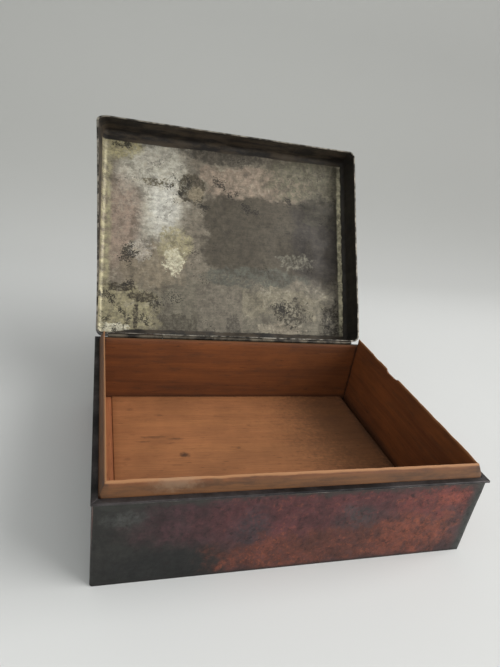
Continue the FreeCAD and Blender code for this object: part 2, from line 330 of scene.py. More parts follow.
def make_ragged_patch():
    """An island with a ragged shore and gaps: 1 inside, 0 outside. Squareness 2 is an oval, 8 a box."""
    group, given, result = new_group(
        "ragged_patch",
        {"Place": "vector", "Centre": "vector", "Reach": "vector", "Softness": "number",
         "Raggedness": "number", "Grain": "number", "Squareness": "number", "Holes": "number"},
        {"Mask": "number"},
    )
    offset = vectors(group, "SUBTRACT", given.outputs["Place"], given.outputs["Centre"])
    scaled = vectors(group, "DIVIDE", offset, given.outputs["Reach"])
    parts = put(group, "ShaderNodeSeparateXYZ", Vector=vectors(group, "ABSOLUTE", scaled, (0, 0, 0)))
    powers = [sums(group, "POWER", parts.outputs[axis], given.outputs["Squareness"]) for axis in "XYZ"]
    total = plus(group, plus(group, powers[0], powers[1]), powers[2])
    distance = sums(group, "POWER", total, sums(group, "DIVIDE", 1.0, given.outputs["Squareness"]))
    shore, _ = noise_of(group, given.outputs["Place"], given.outputs["Grain"], 8.0, 0.66)
    wander = times(group, minus(group, shore, 0.5), given.outputs["Raggedness"])
    edge = minus(group, plus(group, distance, wander), 1.0)
    inner = times(group, given.outputs["Softness"], -1.0)
    mask = spread(group, edge, inner, given.outputs["Softness"], 1.0, 0.0)
    fine_grain = times(group, given.outputs["Grain"], 3.1)
    gaps, _ = noise_of(group, given.outputs["Place"], fine_grain, 8.0, 0.72, 0.4)
    open_gaps = times(group, spread(group, gaps, 0.52, 0.45), given.outputs["Holes"])
    broken = times(group, mask, minus(group, 1.0, open_gaps))
    group.links.new(broken, result.inputs["Mask"])
    return group


ragged_patch = make_ragged_patch()
print("ragged_patch group")

# %% Pits in clusters


def make_pitting():
    """Small dark pits that gather in clusters: a mask, and a height to sink them."""
    group, given, result = new_group(
        "pitting",
        {"Place": "vector", "Pit Scale": "number", "Cluster Scale": "number", "Amount": "number"},
        {"Mask": "number", "Height": "number"},
    )
    fine, _ = noise_of(group, given.outputs["Place"], given.outputs["Pit Scale"], 3.0, 0.6)
    cluster, _ = noise_of(group, given.outputs["Place"], given.outputs["Cluster Scale"], 5.0, 0.6)
    gathered = spread(group, cluster, 0.47, 0.66)
    level = plus(group, fine, times(group, gathered, given.outputs["Amount"]))
    mask = spread(group, level, 0.70, 0.745)
    group.links.new(mask, result.inputs["Mask"])
    group.links.new(times(group, mask, -1.0), result.inputs["Height"])
    return group


pitting = make_pitting()
print("pitting group")

# %% Tarnish film


def make_tarnish_film():
    """Mottled grey, brown and faint violet film as a colour to multiply with, and its roughness."""
    group, given, result = new_group(
        "tarnish_film",
        {"Place": "vector", "Scale": "number"},
        {"Tint": "colour", "Roughness": "number"},
    )
    broad, hues = noise_of(group, given.outputs["Place"], given.outputs["Scale"], 6.0, 0.6, 0.4)
    fine_scale = times(group, given.outputs["Scale"], 9.0)
    fine, _ = noise_of(group, given.outputs["Place"], fine_scale, 4.0, 0.7)
    ramp = put(group, "ShaderNodeValToRGB", Fac=broad)
    stops = ramp.color_ramp.elements
    stops[0].position, stops[0].color = 0.30, (0.52, 0.46, 0.44, 1)
    stops[1].position, stops[1].color = 0.72, (1.30, 1.28, 1.22, 1)
    middle = stops.new(0.47)
    middle.color = (0.95, 0.90, 0.89, 1)
    specks = spread_grey(group, fine, 0.35, 0.65, 0.6, 1.25)
    speckled = blend_colours(group, 0.55, ramp.outputs["Color"], specks, "MULTIPLY")
    tinted = blend_colours(group, 0.04, speckled, hues, "OVERLAY")
    group.links.new(tinted, result.inputs["Tint"])
    group.links.new(spread(group, broad, 0.3, 0.7, 0.60, 0.34), result.inputs["Roughness"])
    return group


tarnish_film = make_tarnish_film()
print("tarnish_film group")

# %% Wood grain


def make_wood_grain():
    """Straight cedar grain with its fibres along X: broad bands, fine fibres and short dark pores."""
    group, given, result = new_group(
        "wood_grain",
        {"Place": "vector", "Band Scale": "number", "Fibre Scale": "number"},
        {"Tone": "number", "Fibre": "number", "Pores": "number"},
    )
    bent, _ = noise_of(group, vectors(group, "MULTIPLY", given.outputs["Place"], (5, 26, 26)), 1.0, 2.0)
    sway = put(group, "ShaderNodeCombineXYZ", X=0.0, Y=bent, Z=bent)
    swayed = vectors(group, "ADD", given.outputs["Place"],
                     vectors(group, "MULTIPLY", sway.outputs[0], (0, 0.012, 0.012)))
    along = vectors(group, "MULTIPLY", swayed, (0.05, 1, 1))
    bands, _ = noise_of(group, along, given.outputs["Band Scale"], 4.0, 0.6)
    fibre_place = vectors(group, "MULTIPLY", swayed, (0.03, 1, 1))
    fibres, _ = noise_of(group, fibre_place, given.outputs["Fibre Scale"], 4.0, 0.7)
    pore_place = vectors(group, "MULTIPLY", swayed, (0.12, 1, 1))
    pores, _ = noise_of(group, pore_place, times(group, given.outputs["Fibre Scale"], 0.8), 2.0, 0.5)
    group.links.new(bands, result.inputs["Tone"])
    group.links.new(fibres, result.inputs["Fibre"])
    group.links.new(spread(group, pores, 0.64, 0.74), result.inputs["Pores"])
    return group


wood_grain = make_wood_grain()
print("wood_grain group")

# %% [markdown]
# ## Tarnished plate inside the lid
# The inside of the lid is silver plate that has gone every shade between bright cream and nearly black.
# Where each shade lies is part of this lid, so the finish is laid like a map: patches one over another, each
# with a ragged shore, on the lid's own plan. Plan X runs to the right and plan Y runs from the hinge to the
# front edge. Fine pits, scratches and a film over everything tie the patches together.
# The bright strips along the left and right folds are painted highlight, and the walls and folds carry
# painted shade.

# %% Lid patches
LID_PATCHES = [
    # name, centre and reach on the plan in mm, softness, raggedness, squareness, gaps, colour
    ("low tarnish", (10, 18), (92, 25), 0.25, 1.3, 4, 0.3, (106, 101, 88)),
    ("beige band", (18, 113), (42, 14), 0.12, 1.8, 2.5, 0.5, (136, 122, 107)),
    ("olive top right", (60, 121), (34, 16), 0.20, 1.8, 3, 0.5, (98, 94, 78)),
    ("dark top", (-8, 134), (30, 8), 0.10, 1.9, 3, 0.5, (76, 71, 62)),
    ("dark middle", (34, 75), (53, 29), 0.07, 0.7, 5, 0.0, (74, 68, 57)),
    ("dark right", (66, 76), (20, 31), 0.30, 1.2, 3, 0.2, (54, 49, 44)),
    ("dark right arm", (70, 99), (16, 12), 0.12, 2.2, 2.5, 0.6, (66, 62, 52)),
    ("grey low edge", (14, 46), (40, 7), 0.20, 2.5, 2, 0.6, (84, 84, 75)),
    ("light in the dark", (48, 60), (13, 6), 0.12, 3.2, 2, 0.85, (110, 107, 95)),
    ("light low right", (38, 28), (38, 10), 0.10, 2.8, 2, 0.6, (124, 118, 101)),
    ("flat tile", (-8, 20), (16, 19), 0.04, 0.5, 8, 0.1, (108, 102, 90)),
    ("dark foot left", (-37, 9), (14, 8), 0.08, 2.2, 3, 0.6, (80, 75, 64)),
    ("dark foot middle", (2, 10), (5, 8), 0.08, 2.4, 3, 0.7, (78, 73, 64)),
    ("light foot right", (36, 9), (15, 6), 0.08, 2.8, 2, 0.6, (134, 126, 110)),
    ("dark low right", (76, 14), (9, 16), 0.08, 3.4, 2, 0.9, (56, 51, 42)),
    ("dark flecks right", (44, 22), (12, 9), 0.05, 4.0, 2, 1.0, (62, 57, 47)),
    ("silver left", (-56, 105), (24, 38), 0.28, 1.4, 2.5, 0.25, (174, 171, 158)),
    ("silver core", (-48, 92), (9, 19), 0.60, 1.4, 2, 0.2, (196, 195, 186)),
    ("mauve left", (-75, 76), (12, 31), 0.50, 1.0, 2.5, 0.2, (143, 127, 113)),
    ("tan low left", (-56, 50), (22, 16), 0.25, 2.0, 2, 0.5, (128, 118, 100)),
    ("cream top left", (-77, 131), (14, 9), 0.25, 2.2, 2, 0.5, (156, 149, 114)),
    ("yellow patch", (-40, 66), (11, 12), 0.20, 2.4, 2, 0.6, (148, 141, 112)),
    ("worn light spot", (-62, 60), (8, 7), 0.20, 3.2, 2, 0.8, (166, 160, 148)),
    ("bright spot", (-40, 54), (6.5, 8.5), 0.10, 3.2, 2, 0.7, (194, 190, 166)),
    ("ring", (-29, 106), (9, 11), 0.05, 1.9, 2, 0.4, (70, 64, 51)),
    ("heart of the ring", (-26, 103), (5.5, 5), 0.10, 2.6, 2, 0.5, (134, 124, 104)),
    ("smear by the ring", (-52, 108), (10, 3), 0.08, 3.6, 2, 0.9, (104, 98, 82)),
    ("cream corner", (-72, 15), (20, 18), 0.20, 2.2, 3, 0.5, (148, 141, 112)),
    ("white foot left", (-80, 6), (12, 4), 0.10, 3.0, 2, 0.5, (204, 200, 180)),
    ("black streak high", (-76, 34), (11, 2.6), 0.06, 3.0, 2, 0.7, (62, 55, 42)),
    ("black streak low", (-61, 28), (9, 3.4), 0.06, 2.6, 2, 0.5, (66, 59, 46)),
    ("black trail", (-65, 15), (1.6, 9), 0.06, 3.0, 2, 0.6, (60, 53, 42)),
    # the next two are painted highlight, where light catches the folds along the left and right walls
    ("cream painted highlight left edge", (-86, 70), (3.6, 73), 0.40, 1.2, 3, 0.6, (150, 144, 116)),
    ("painted highlight right edge", (84.0, 72), (2.1, 66), 0.30, 1.4, 4, 0.4, (208, 202, 172)),
]
PIT_FIELDS = [
    # centre and reach in mm: where the pits are thickest
    ((-70, 18), (28, 24)), ((44, 22), (18, 10)), ((77, 14), (10, 15)), ((-26, 103), (20, 18)),
    ((20, 102), (34, 8)), ((-78, 128), (14, 10)), ((-62, 60), (14, 12)),
]


def place_patch(tree, place, centre, reach, softness, raggedness, squareness=2.0, gaps=0.0, grain=0.0):
    """Small patches get a finer shore, unless a grain is given."""
    grain = grain or min(260.0, 75.0 * (40 / min(max(reach), 40)) ** 0.6)
    patch = use_group(
        tree, ragged_patch, Place=place,
        Centre=(centre[0] * MM, centre[1] * MM, 0), Reach=(reach[0] * MM, reach[1] * MM, 1e6),
        Softness=softness, Raggedness=raggedness, Grain=grain, Squareness=squareness, Holes=gaps,
    )
    return patch.outputs["Mask"]


def lay_patches(tree, place, patches, base):
    """Paint each patch over the ones before it."""
    colour = base
    for _, centre, reach, softness, raggedness, squareness, gaps, tone in patches:
        mask = place_patch(tree, place, centre, reach, softness, raggedness, squareness, gaps)
        colour = blend_colours(tree, mask, colour, screen_colour(*tone))
    return colour


print(f"{len(LID_PATCHES)} patches and {len(PIT_FIELDS)} pitted places on the lid")

# %% Lid wear in small, and painted shade on the walls
LID_FRONT = 141.1 * MM
LID_LENGTH = 142.0 * MM
LID_HEIGHT = 17.6 * MM
FOLD_SHADE = {"left": 7.6 * MM, "right": 4.2 * MM, "rear": 6.8 * MM, "side": 13.4 * MM}


def add_small_wear(tree, plan, colour):
    """Mottling, crisp islands, brushed lines, cracks and pits, from broad to fine."""
    mottle, _ = noise_of(tree, plan, 230.0, 9.0, 0.80)
    colour = blend_colours(tree, 1.0, colour, spread_grey(tree, mottle, 0.30, 0.70, 0.58, 1.38), "MULTIPLY")
    islands, _ = noise_of(tree, plan, 95.0, 9.0, 0.70, 0.3)
    dark_islands = spread(tree, islands, 0.555, 0.575)
    colour = blend_colours(tree, times(tree, dark_islands, 0.38), colour, screen_colour(60, 54, 45))
    light = put(tree, "ShaderNodeSeparateColor", Color=colour).outputs["Green"]
    light_islands = times(tree, spread(tree, islands, 0.43, 0.41), spread(tree, light, 0.08, 0.20))
    colour = blend_colours(tree, times(tree, light_islands, 0.30), colour, screen_colour(176, 168, 148))
    brushed, _ = noise_of(tree, vectors(tree, "MULTIPLY", plan, (0.06, 1, 1)), 900.0, 3.0, 0.6)
    colour = blend_colours(tree, 0.5, colour, spread_grey(tree, brushed, 0.35, 0.65, 0.86, 1.14), "MULTIPLY")

    density = 0.16
    for centre, reach in PIT_FIELDS:
        field = place_patch(tree, plan, centre, reach, 0.5, 1.0)
        density = plus(tree, density, times(tree, field, 0.17))
    pits = use_group(tree, pitting, Place=plan, Pit_Scale=1000.0, Cluster_Scale=60.0, Amount=density)
    colour = blend_colours(tree, times(tree, pits.outputs["Mask"], 0.85), colour, screen_colour(30, 26, 20))

    bend, bend_colour = noise_of(tree, plan, 120.0, 5.0, 0.6)
    bent = vectors(tree, "ADD", plan, vectors(tree, "MULTIPLY", bend_colour, (0.012, 0.012, 0)))
    cells = put(tree, "ShaderNodeTexVoronoi", {"feature": "DISTANCE_TO_EDGE"}, Vector=bent, Scale=95.0)
    cracks = spread(tree, cells.outputs["Distance"], 0.02, 0.05, 1.0, 0.0)
    corner = place_patch(tree, plan, (-68, 18), (24, 20), 0.4, 1.6)
    broken = times(tree, times(tree, cracks, corner), spread(tree, bend, 0.48, 0.56))
    colour = blend_colours(tree, times(tree, broken, 0.8), colour, screen_colour(44, 38, 28))
    return colour, pits.outputs["Height"], dark_islands


def find_lid_walls_and_shaded_folds(tree, place, parts, streaks):
    """1 on the walls and dark folds at the front and the hinge, 0 on the panel: tarnish with painted shade.
    """
    drift = times(tree, minus(tree, streaks, 0.5), 3 * MM)
    depth = plus(tree, parts.outputs["Z"], drift)
    to_right = spread(tree, parts.outputs["X"], -half_width, half_width, 0.0, 1.6 * MM)
    side = spread(tree, minus(tree, depth, to_right), FOLD_SHADE["side"] - 0.3 * MM,
                  FOLD_SHADE["side"] + 0.4 * MM, 1.0, 0.0)
    inset = spread(tree, parts.outputs["X"], -half_width, half_width, FOLD_SHADE["left"], FOLD_SHADE["right"],
                   smooth=False)
    from_front = minus(tree, minus(tree, LID_FRONT, parts.outputs["Y"]), drift)
    front = spread(tree, minus(tree, from_front, inset), -0.3 * MM, 0.4 * MM, 1.0, 0.0)
    from_rear = plus(tree, parts.outputs["Y"], drift)
    from_rear = plus(tree, from_rear, spread(tree, parts.outputs["X"], -84 * MM, -58 * MM, 2.4 * MM, 0.0))
    rear = spread(tree, from_rear, FOLD_SHADE["rear"] - 0.4 * MM, FOLD_SHADE["rear"] + 0.4 * MM, 1.0, 0.0)
    right = spread(tree, plus(tree, parts.outputs["X"], drift), 84.7 * MM, 85.3 * MM)
    return sums(tree, "MAXIMUM", sums(tree, "MAXIMUM", side, right), sums(tree, "MAXIMUM", front, rear))


print("small wear and the dark folds")

# %% Lid finish


def make_lid_finish():
    material, tree, shader = new_material("tarnished_lid_plate")
    place = put(tree, "ShaderNodeAttribute", {"attribute_name": "lid_plan"}).outputs["Vector"]
    parts = put(tree, "ShaderNodeSeparateXYZ", Vector=place)
    plan = put(tree, "ShaderNodeCombineXYZ", X=parts.outputs["X"], Y=parts.outputs["Y"], Z=0.0).outputs[0]
    colour = lay_patches(tree, plan, LID_PATCHES, screen_colour(114, 107, 94))
    film = use_group(tree, tarnish_film, Place=plan, Scale=55.0)
    colour = blend_colours(tree, 0.35, colour, film.outputs["Tint"], "MULTIPLY")
    colour, pit_height, islands = add_small_wear(tree, plan, colour)

    streaks, _ = noise_of(tree, vectors(tree, "MULTIPLY", place, (0.3, 1, 1)), 190.0, 7.0, 0.68)
    # The walls and folds take dark tarnish with painted shade.
    wall_tarnish_and_shade = blend_colours(tree, spread(tree, streaks, 0.40, 0.62), screen_colour(22, 17, 12),
                                screen_colour(66, 56, 43))
    # more painted shade on the right wall, which faces away from the light
    right_wall_shade = spread(tree, parts.outputs["X"], 83 * MM, 86 * MM)
    wall_tarnish_and_shade = blend_colours(tree, times(tree, right_wall_shade, 0.75), wall_tarnish_and_shade, screen_colour(20, 17, 11))
    walls = find_lid_walls_and_shaded_folds(tree, place, parts, streaks)
    colour = blend_colours(tree, walls, colour, wall_tarnish_and_shade)
    tree.links.new(colour, shader.inputs["Base Color"])

    tree.links.new(plus(tree, film.outputs["Roughness"], times(tree, walls, 0.25)),
                   shader.inputs["Roughness"])
    tree.links.new(spread(tree, walls, 0.0, 1.0, 0.35, 0.0), shader.inputs["Metallic"])
    relief = plus(tree, times(tree, pit_height, 0.6), times(tree, islands, 0.2))
    bump = put(tree, "ShaderNodeBump", Strength=0.5, Distance=0.0002, Height=relief)
    tree.links.new(bump.outputs["Normal"], shader.inputs["Normal"])
    return material


lid_finish = make_lid_finish()
print("lid finish:", len(lid_finish.node_tree.nodes), "nodes")

# %% [markdown]
# ## Worn plate on the case
# Outside, the plate has gone dark, and where hands wore it away the copper shows red. The front is laid in
# patches as the lid is, on a plan of X and height; on the other sides the copper follows slow noise.

# %% Case patches
CASE_PATCHES = [
    ("charcoal left", (-84, 22), (44, 46), 0.35, 1.2, 3, 0.0, (37, 37, 34)),
    ("violet grey", (-44, 30), (28, 14), 0.45, 1.6, 2, 0.3, (66, 42, 46)),
    ("black low", (-56, 7), (26, 12), 0.35, 1.8, 2, 0.2, (25, 26, 25)),
    # grey plate with a painted highlight on it
    ("grey plate with painted highlight high left", (-76, 35), (8, 4), 0.60, 1.8, 2, 0.5, (62, 63, 61)),
    ("maroon", (0, 30), (40, 15), 0.50, 1.6, 2, 0.3, (86, 45, 47)),
    ("violet arm", (-24, 24), (8, 12), 0.50, 2.0, 2, 0.6, (62, 48, 52)),
    ("copper low", (-10, 9), (28, 11), 0.40, 2.6, 2, 0.5, (100, 53, 40)),
    ("copper middle", (30, 12), (30, 12), 0.35, 2.6, 2, 0.5, (90, 49, 38)),
    ("copper right", (58, 14), (22, 13), 0.35, 2.6, 2, 0.5, (114, 60, 44)),
    ("red high middle", (30, 36), (16, 6), 0.50, 2.4, 2, 0.4, (86, 44, 46)),
    ("red high right", (66, 34), (20, 9), 0.40, 2.4, 2, 0.5, (104, 51, 47)),
    # bare copper with a painted highlight on it
    ("bright copper", (73, 35), (8, 4), 0.60, 3.0, 2, 0.8, (126, 64, 52)),
    ("grey in the middle", (26, 28), (11, 7), 0.60, 2.2, 2, 0.6, (64, 53, 54)),
    ("grey right", (89, 22), (5, 40), 0.50, 1.0, 4, 0.0, (54, 56, 54)),
]


def mix_plate_and_copper(tree, place):
    """Dark plate, with copper where slow noise is high, and the shore between them ragged and fine."""
    worn, _ = noise_of(tree, place, 20.0, 10.0, 0.66, 0.3)
    copper_shows = spread(tree, worn, 0.465, 0.575)
    copper_tone, _ = noise_of(tree, place, 34.0, 6.0, 0.6)
    copper = blend_colours(tree, spread(tree, copper_tone, 0.4, 0.62), screen_colour(78, 43, 42),
                           screen_colour(112, 62, 46))
    return blend_colours(tree, copper_shows, screen_colour(46, 46, 43), copper)


def age_plate(tree, shader, place, colour):
    """Film, mottling, rubbed specks and grit, as on every outer face. Gives the colour and the mottling."""
    film = use_group(tree, tarnish_film, Place=place, Scale=60.0)
    colour = blend_colours(tree, 0.5, colour, film.outputs["Tint"], "MULTIPLY")
    mottle, _ = noise_of(tree, place, 150.0, 9.0, 0.74, 0.2)
    colour = blend_colours(tree, 1.0, colour, spread_grey(tree, mottle, 0.30, 0.70, 0.60, 1.42), "MULTIPLY")
    redness = put(tree, "ShaderNodeSeparateColor", Color=colour)
    bare = spread(tree, minus(tree, redness.outputs["Red"], redness.outputs["Green"]), 0.03, 0.09)
    specks, _ = noise_of(tree, place, 480.0, 6.0, 0.75)
    rubbed = times(tree, spread(tree, specks, 0.53, 0.66, 0.0, 0.5), bare)
    colour = blend_colours(tree, rubbed, colour, screen_colour(158, 86, 56))
    grit, _ = noise_of(tree, place, 230.0, 8.0, 0.74)
    colour = blend_colours(tree, spread(tree, grit, 0.55, 0.64, 0.0, 0.6), colour, screen_colour(30, 26, 26))
    tree.links.new(spread(tree, grit, 0.35, 0.7, 0.36, 0.60), shader.inputs["Roughness"])
    shader.inputs["Metallic"].default_value = 0.3
    bump = put(tree, "ShaderNodeBump", Strength=0.4, Distance=0.0002, Height=plus(tree, specks, mottle))
    tree.links.new(bump.outputs["Normal"], shader.inputs["Normal"])
    return colour, mottle


def make_case_finish():
    material, tree, shader = new_material("worn_case_plate")
    place = put(tree, "ShaderNodeTexCoord").outputs["Object"]
    parts = put(tree, "ShaderNodeSeparateXYZ", Vector=place)
    across, height = parts.outputs["X"], parts.outputs["Z"]
    front_plan = put(tree, "ShaderNodeCombineXYZ", X=across, Y=height, Z=0.0).outputs[0]
    front = lay_patches(tree, front_plan, CASE_PATCHES, screen_colour(72, 46, 46))
    on_front = spread(tree, parts.outputs["Y"], -half_depth + 0.4 * MM, -half_depth + 1.2 * MM, 1.0, 0.0)
    colour = blend_colours(tree, on_front, mix_plate_and_copper(tree, place), front)
    colour, mottle = age_plate(tree, shader, place, colour)

    from_top = minus(tree, wall_high.z, parts.outputs["Z"])
    ragged_top = plus(tree, from_top, times(tree, minus(tree, mottle, 0.5), 0.02))
    top_band = spread(tree, ragged_top, 0.0, 4.0 * MM, 0.7, 0.0)
    colour = blend_colours(tree, top_band, colour, screen_colour(54, 55, 50))
    low_band = spread(tree, parts.outputs["Z"], 0.0, 2.6 * MM, 0.85, 0.0)
    colour = blend_colours(tree, low_band, colour, screen_colour(28, 26, 25))
    tree.links.new(colour, shader.inputs["Base Color"])
    return material


def make_lid_outside():
    """The same plate on the lid. Its folds and corners stand out, and are rubbed through to bright copper."""
    material, tree, shader = new_material("worn_lid_outside")
    place = put(tree, "ShaderNodeAttribute", {"attribute_name": "lid_plan"}).outputs["Vector"]
    parts = put(tree, "ShaderNodeSeparateXYZ", Vector=place)
    to_side = minus(tree, half_width, sums(tree, "ABSOLUTE", parts.outputs["X"]))
    to_end = sums(tree, "MINIMUM", parts.outputs["Y"], minus(tree, LID_LENGTH, parts.outputs["Y"]))
    to_top = minus(tree, LID_HEIGHT, parts.outputs["Z"])
    from_fold = plus(tree, to_top, sums(tree, "MAXIMUM", sums(tree, "MINIMUM", to_side, to_end), 0.0))
    ragged, _ = noise_of(tree, place, 130.0, 8.0, 0.70)
    ragged = times(tree, minus(tree, ragged, 0.5), 24 * MM)
    rubbed = spread(tree, plus(tree, from_fold, ragged), 1.0 * MM, 5.0 * MM, 0.75, 0.0)
    colour = blend_colours(tree, rubbed, mix_plate_and_copper(tree, place), screen_colour(138, 90, 68))
    colour, _ = age_plate(tree, shader, place, colour)
    tree.links.new(colour, shader.inputs["Base Color"])
    return material


case_finish = make_case_finish()
lid_outside_finish = make_lid_outside()
print("outer plate:", len(case_finish.node_tree.nodes), "nodes on the case,",
      len(lid_outside_finish.node_tree.nodes), "on the lid")

# %% [markdown]
# ## Rim and hinge metal
# The ledge kept more of its plate than the walls: it is blue grey with violet in it. The hinge tubes are the
# same metal, browner.

# %% Rim and hinge finishes


def make_plain_metal(name, dark, light, scale, metallic):
    material, tree, shader = new_material(name)
    place = put(tree, "ShaderNodeTexCoord").outputs["Object"]
    broad, _ = noise_of(tree, place, scale, 6.0, 0.6, 0.4)
    colour = blend_colours(tree, spread(tree, broad, 0.36, 0.64), screen_colour(*dark), screen_colour(*light))
    film = use_group(tree, tarnish_film, Place=place, Scale=scale * 1.7)
    colour = blend_colours(tree, 0.6, colour, film.outputs["Tint"], "MULTIPLY")
    tree.links.new(colour, shader.inputs["Base Color"])
    tree.links.new(film.outputs["Roughness"], shader.inputs["Roughness"])
    shader.inputs["Metallic"].default_value = metallic
    fine, _ = noise_of(tree, place, 900.0, 3.0, 0.6)
    bump = put(tree, "ShaderNodeBump", Strength=0.25, Distance=0.0001, Height=fine)
    tree.links.new(bump.outputs["Normal"], shader.inputs["Normal"])
    return material


rim_finish = make_plain_metal("blue_grey_rim", (31, 30, 32), (72, 68, 69), 60.0, 0.6)
hinge_finish = make_plain_metal("hinge_tube", (34, 30, 25), (104, 97, 84), 110.0, 0.5)
pin_finish = make_plain_metal("hinge_wire", (54, 50, 46), (112, 108, 100), 120.0, 0.8)
lid_edge_finish = make_plain_metal("lid_edge", (38, 35, 30), (140, 136, 126), 240.0, 0.6)
solder_finish = make_plain_metal("soft_solder", (84, 84, 80), (158, 158, 150), 160.0, 0.6)
print("rim, hinge, pin and solder finishes")

# %% [markdown]
# ## Cedar
# The lining is thin cedar. Its fibres run along each board, so the pattern is turned to suit: along X for
# the front, back and floor boards, along Y for the side boards. The floor is paler, rubbed and spotted.

# The floor also carries painted shadow by its right board, and the boards painted shade in their corners.
# %% Wood finishes
ALONG_X = (0.0, 0.0, 0.0)
ALONG_Y = (0.0, 0.0, math.radians(90))
WOOD_MOTTLING = 0.7


def make_wood(name, dark, light, turn, band_scale=140.0, marks_and_shade=(), grime=0.0, corner=None):
    """Cedar between two tones. Corner is the axis and distance of a joint darkened by dirt and painted shade.
    """
    material, tree, shader = new_material(name)
    place = put(tree, "ShaderNodeTexCoord").outputs["Object"]
    turned = put(tree, "ShaderNodeMapping", Vector=place, Rotation=turn).outputs["Vector"]
    grain = use_group(tree, wood_grain, Place=turned, Band_Scale=band_scale, Fibre_Scale=1500.0)
    colour = blend_colours(tree, spread(tree, grain.outputs["Tone"], 0.33, 0.67), screen_colour(*dark),
                           screen_colour(*light))
    fibre_tone = spread_grey(tree, grain.outputs["Fibre"], 0.3, 0.7, 0.80, 1.12)
    colour = blend_colours(tree, 0.8, colour, fibre_tone, "MULTIPLY")
    broad, _ = noise_of(tree, place, 26.0, 6.0, 0.66)
    mottling = spread_grey(tree, broad, 0.3, 0.7, 0.74, 1.16)
    colour = blend_colours(tree, WOOD_MOTTLING, colour, mottling, "MULTIPLY")
    colour = blend_colours(tree, times(tree, grain.outputs["Pores"], 0.65), colour,
                           screen_colour(dark[0] * 0.5, dark[1] * 0.45, dark[2] * 0.4))
    dirt, _ = noise_of(tree, vectors(tree, "MULTIPLY", turned, (0.25, 1, 1)), 240.0, 6.0, 0.7)
    colour = blend_colours(tree, spread(tree, dirt, 0.5, 0.7, 0.0, grime), colour, screen_colour(70, 46, 30))
    colour = darken_joints_dirt_and_shade(tree, place, colour, dirt, corner)
    colour = rub_edges(tree, colour, dirt, fibre_tone)
    # marks and stains, and on the floor painted shadow too
    for centre, reach, strength, tone in marks_and_shade:
        mask = place_patch(tree, place, centre, reach, 0.7, 2.2, grain=420.0)
        colour = blend_colours(tree, times(tree, mask, strength), colour, screen_colour(*tone))
    tree.links.new(colour, shader.inputs["Base Color"])
    tree.links.new(spread(tree, grain.outputs["Tone"], 0.3, 0.7, 0.72, 0.58), shader.inputs["Roughness"])
    bump = put(tree, "ShaderNodeBump", Strength=0.35, Distance=0.0002, Height=grain.outputs["Fibre"])
    tree.links.new(bump.outputs["Normal"], shader.inputs["Normal"])
    return material


def darken_joints_dirt_and_shade(tree, place, colour, dirt, corner):
    """Dirt and painted shade in the upright joint at the end of a board, and painted shade along its foot."""
    if corner is None:
        return colour
    axis, reach = corner
    parts = put(tree, "ShaderNodeSeparateXYZ", Vector=place)
    along = sums(tree, "ABSOLUTE", parts.outputs[axis])
    ragged = times(tree, minus(tree, dirt, 0.5), 2.5 * MM)
    to_end = spread(tree, plus(tree, along, ragged), reach - 1.6 * MM, reach, 0.0, 0.75)
    # painted shade along the foot, where the board meets the floor
    foot = spread(tree, plus(tree, parts.outputs["Z"], ragged), 4.8 * MM, 8.5 * MM, 0.6, 0.0)
    colour = blend_colours(tree, sums(tree, "MAXIMUM", to_end, foot), colour, screen_colour(40, 22, 12))
    return colour


def rub_edges(tree, colour, dirt, fibre_tone):
    """The bevel is greyed by hands, and the thin land on top is rubbed to pale wood."""
    handled = put(tree, "ShaderNodeAttribute", {"attribute_name": "handled"}).outputs["Fac"]
    greyed = spread(tree, dirt, 0.40, 0.66)
    grey = blend_colours(tree, greyed, screen_colour(105, 68, 34), screen_colour(80, 51, 25))
    grey = blend_colours(tree, 0.8, grey, fibre_tone, "MULTIPLY")
    colour = blend_colours(tree, times(tree, handled, 0.85), colour, grey)
    land = put(tree, "ShaderNodeAttribute", {"attribute_name": "land"}).outputs["Fac"]
    pale = spread(tree, minus(tree, land, times(tree, dirt, 0.5)), 0.30, 0.62)
    return blend_colours(tree, times(tree, pale, 0.8), colour, screen_colour(176, 126, 84))


# a stain colour, which is also the painted shadow in the floor's gap by the right board
STAIN_AND_GAP_SHADE = (52, 36, 26)
FLOOR_STAINS_AND_SHADE = [
    # centre and reach in mm, strength, colour
    ((-40, 5.4), (2.2, 1.8), 0.85, STAIN_AND_GAP_SHADE), ((-43, 20), (3.6, 0.9), 0.50, STAIN_AND_GAP_SHADE),
    ((-56, 22), (6.0, 1.1), 0.45, STAIN_AND_GAP_SHADE), ((-50, 44), (2.0, 1.2), 0.35, STAIN_AND_GAP_SHADE),
    ((-68, 50), (1.8, 1.2), 0.35, STAIN_AND_GAP_SHADE), ((-8, 10), (1.2, 1.0), 0.45, STAIN_AND_GAP_SHADE),
    ((-71, 3), (1.6, 1.2), 0.25, STAIN_AND_GAP_SHADE), ((-62, 18), (3.0, 0.8), 0.40, STAIN_AND_GAP_SHADE),
    # painted shadow: the right board's shadow on the floor, and the shade in the gap beside it
    ((76, 30), (38, 64), 0.50, (40, 26, 16)), ((84, 20), (5.0, 60), 0.55, STAIN_AND_GAP_SHADE),
]
BEVEL_MARKS = [((-58, -66.3), (8, 1.0), 0.36, (156, 132, 108))]
SIDE_JOINT = ("X", 84.3 * MM)
END_JOINT = ("Y", 65.3 * MM)
liner_x_finish = make_wood("cedar_along_x", (102, 56, 24), (124, 71, 34), ALONG_X, marks_and_shade=BEVEL_MARKS,
                           grime=0.45, corner=SIDE_JOINT)
liner_y_finish = make_wood("cedar_along_y", (108, 60, 27), (130, 76, 37), ALONG_Y,
                           grime=0.45, corner=END_JOINT)
floor_finish = make_wood("pale_cedar_floor", (158, 103, 64), (168, 112, 70), ALONG_X, 90.0, FLOOR_STAINS_AND_SHADE, 0.12)
filler_finish = make_wood("cedar_filler", (160, 98, 60), (174, 112, 72), ALONG_Y, 120.0)
print("four cuts of cedar")

